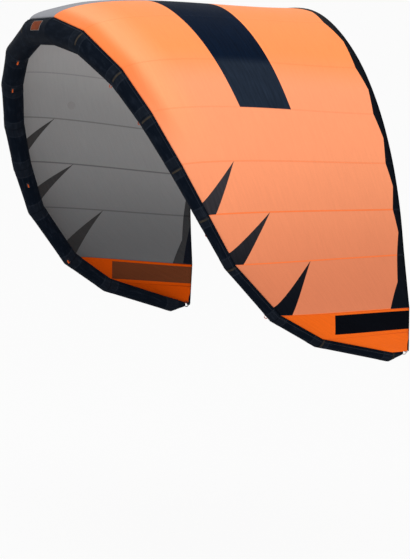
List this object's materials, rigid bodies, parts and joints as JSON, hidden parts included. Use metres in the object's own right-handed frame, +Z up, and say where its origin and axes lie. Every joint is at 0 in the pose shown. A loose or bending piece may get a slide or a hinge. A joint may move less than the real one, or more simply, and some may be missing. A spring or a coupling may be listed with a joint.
{
  "type": "kitesurf kite",
  "caption": "Arched inflatable kite with a kinked air tube along its front edge and a cambered cloth canopy sewn of chordwise panels, with swept tips.",
  "frame": {"origin": "crown of the tube at the middle of the kite", "axes": "+X to the orange wing, +Y from the tube to the trailing edge, +Z up as in flight"},
  "size_m": [3.3458, 2.2628, 2.7096],
  "materials": {
    "tube_sailcloth": "woven sailcloth, slight sheen",
    "orange_cloth": "ripstop cloth",
    "grey_cloth": "ripstop cloth",
    "tip_cloth": "ripstop cloth",
    "dark_cloth": "ripstop cloth",
    "bladder_film": "clear-grey film",
    "valve_plastic": "moulded",
    "flap_rubber": "soft",
    "loop_webbing": "woven webbing",
    "tip_cord": "braided cord"
  },
  "bodies": {
    "kite": {"bladder": "bladder_film", "canopy_panel_left_1": "grey_cloth", "canopy_panel_left_2": "grey_cloth", "canopy_panel_left_3": "grey_cloth", "canopy_panel_left_4": "grey_cloth", "canopy_panel_left_5": "grey_cloth", "canopy_panel_left_6": "grey_cloth", "canopy_panel_left_7": "grey_cloth", "canopy_panel_right_1": "orange_cloth", "canopy_panel_right_2": "orange_cloth", "canopy_panel_right_3": "orange_cloth", "canopy_panel_right_4": "orange_cloth", "canopy_panel_right_5": "orange_cloth", "canopy_panel_right_6": "orange_cloth", "canopy_panel_right_7": "orange_cloth", "canopy_tip_left": "tip_cloth", "canopy_tip_right": "tip_cloth", "cap_strap": "valve_plastic", "trailing_band_left": "dark_cloth", "trailing_band_right": "dark_cloth", "tube_end_left": "tube_sailcloth", "tube_end_right": "tube_sailcloth", "tube_segment_left_1": "tube_sailcloth", "tube_segment_left_2": "tube_sailcloth", "tube_segment_left_3": "tube_sailcloth", "tube_segment_left_4": "tube_sailcloth", "tube_segment_left_5": "tube_sailcloth", "tube_segment_left_6": "tube_sailcloth", "tube_segment_left_7": "tube_sailcloth", "tube_segment_left_8": "tube_sailcloth", "tube_segment_left_9": "tube_sailcloth", "tube_segment_right_1": "tube_sailcloth", "tube_segment_right_2": "tube_sailcloth", "tube_segment_right_3": "tube_sailcloth", "tube_segment_right_4": "tube_sailcloth", "tube_segment_right_5": "tube_sailcloth", "tube_segment_right_6": "tube_sailcloth", "tube_segment_right_7": "tube_sailcloth", "tube_segment_right_8": "tube_sailcloth", "tube_segment_right_9": "tube_sailcloth", "valve_base": "valve_plastic"},
    "valve_cap": {"valve_cap": "valve_plastic"},
    "valve_insert": {"valve_insert": "valve_plastic"},
    "valve_flap": {"valve_flap": "flap_rubber"},
    "bridle_loop_left_1": {"bridle_loop_left_1": "loop_webbing"},
    "bridle_loop_left_2": {"bridle_loop_left_2": "loop_webbing"},
    "bridle_loop_left_3": {"bridle_loop_left_3": "loop_webbing"},
    "bridle_loop_left_4": {"bridle_loop_left_4": "loop_webbing"},
    "bridle_loop_right_1": {"bridle_loop_right_1": "loop_webbing"},
    "bridle_loop_right_2": {"bridle_loop_right_2": "loop_webbing"},
    "bridle_loop_right_3": {"bridle_loop_right_3": "loop_webbing"},
    "bridle_loop_right_4": {"bridle_loop_right_4": "loop_webbing"},
    "tip_loop_left": {"tip_loop_left": "tip_cord"},
    "tip_loop_right": {"tip_loop_right": "tip_cord"}
  },
  "joints": [
    {"name": "cap_hinge", "type": "hinge", "parent": "kite", "child": "valve_cap", "pos_m": [0.22, 0.09189, -0.21816], "axis": [-0.0896, -0.6689, -0.738], "range_deg": [0, 150]},
    {"name": "insert_turn", "type": "hinge", "parent": "kite", "child": "valve_insert", "pos_m": [0.20597, 0.07967, -0.20539], "axis": [-0.0888, 0.7434, -0.663], "range_deg": [0, 90]},
    {"name": "flap_hinge", "type": "hinge", "parent": "kite", "child": "valve_flap", "pos_m": [0.19858, 0.07346, -0.19885], "axis": [-0.0896, -0.6689, -0.738], "range_deg": [0, 50], "stiffness_Nm_per_rad": 0.0005},
    {"name": "bridle_loop_left_1_swing", "type": "hinge", "parent": "kite", "child": "bridle_loop_left_1", "pos_m": [-0.79678, 0.06741, -0.39374], "axis": [-0.908, 0.1684, -0.3836], "range_deg": [-50, 50]},
    {"name": "bridle_loop_left_2_swing", "type": "hinge", "parent": "kite", "child": "bridle_loop_left_2", "pos_m": [-1.07134, 0.1556, -0.6344], "axis": [-0.7007, 0.2414, -0.6714], "range_deg": [-50, 50]},
    {"name": "bridle_loop_left_3_swing", "type": "hinge", "parent": "kite", "child": "bridle_loop_left_3", "pos_m": [-1.42866, 0.46664, -1.44772], "axis": [-0.1697, 0.3938, -0.9034], "range_deg": [-50, 50]},
    {"name": "bridle_loop_left_4_swing", "type": "hinge", "parent": "kite", "child": "bridle_loop_left_4", "pos_m": [-1.5102, 0.87046, -2.1031], "axis": [-0.072, 0.5809, -0.8108], "range_deg": [-50, 50]},
    {"name": "bridle_loop_right_1_swing", "type": "hinge", "parent": "kite", "child": "bridle_loop_right_1", "pos_m": [0.7965, 0.03206, -0.45428], "axis": [0.8882, 0.1347, -0.4392], "range_deg": [-50, 50]},
    {"name": "bridle_loop_right_2_swing", "type": "hinge", "parent": "kite", "child": "bridle_loop_right_2", "pos_m": [1.07119, 0.12205, -0.71087], "axis": [0.6812, 0.2441, -0.6902], "range_deg": [-50, 50]},
    {"name": "bridle_loop_right_3_swing", "type": "hinge", "parent": "kite", "child": "bridle_loop_right_3", "pos_m": [1.42865, 0.48431, -1.52399], "axis": [0.1682, 0.4611, -0.8712], "range_deg": [-50, 50]},
    {"name": "bridle_loop_right_4_swing", "type": "hinge", "parent": "kite", "child": "bridle_loop_right_4", "pos_m": [1.51021, 0.9408, -2.14891], "axis": [0.0718, 0.6443, -0.7614], "range_deg": [-50, 50]},
    {"name": "tip_loop_left_swing", "type": "hinge", "parent": "kite", "child": "tip_loop_left", "pos_m": [-1.562, 1.9923, -2.55594], "axis": [0, 0.0419, 0.9991], "range_deg": [-50, 0]},
    {"name": "tip_loop_right_swing", "type": "hinge", "parent": "kite", "child": "tip_loop_right", "pos_m": [1.562, 2.09891, -2.50769], "axis": [0, -0.0419, 0.9991], "range_deg": [0, 50]}
  ]
}
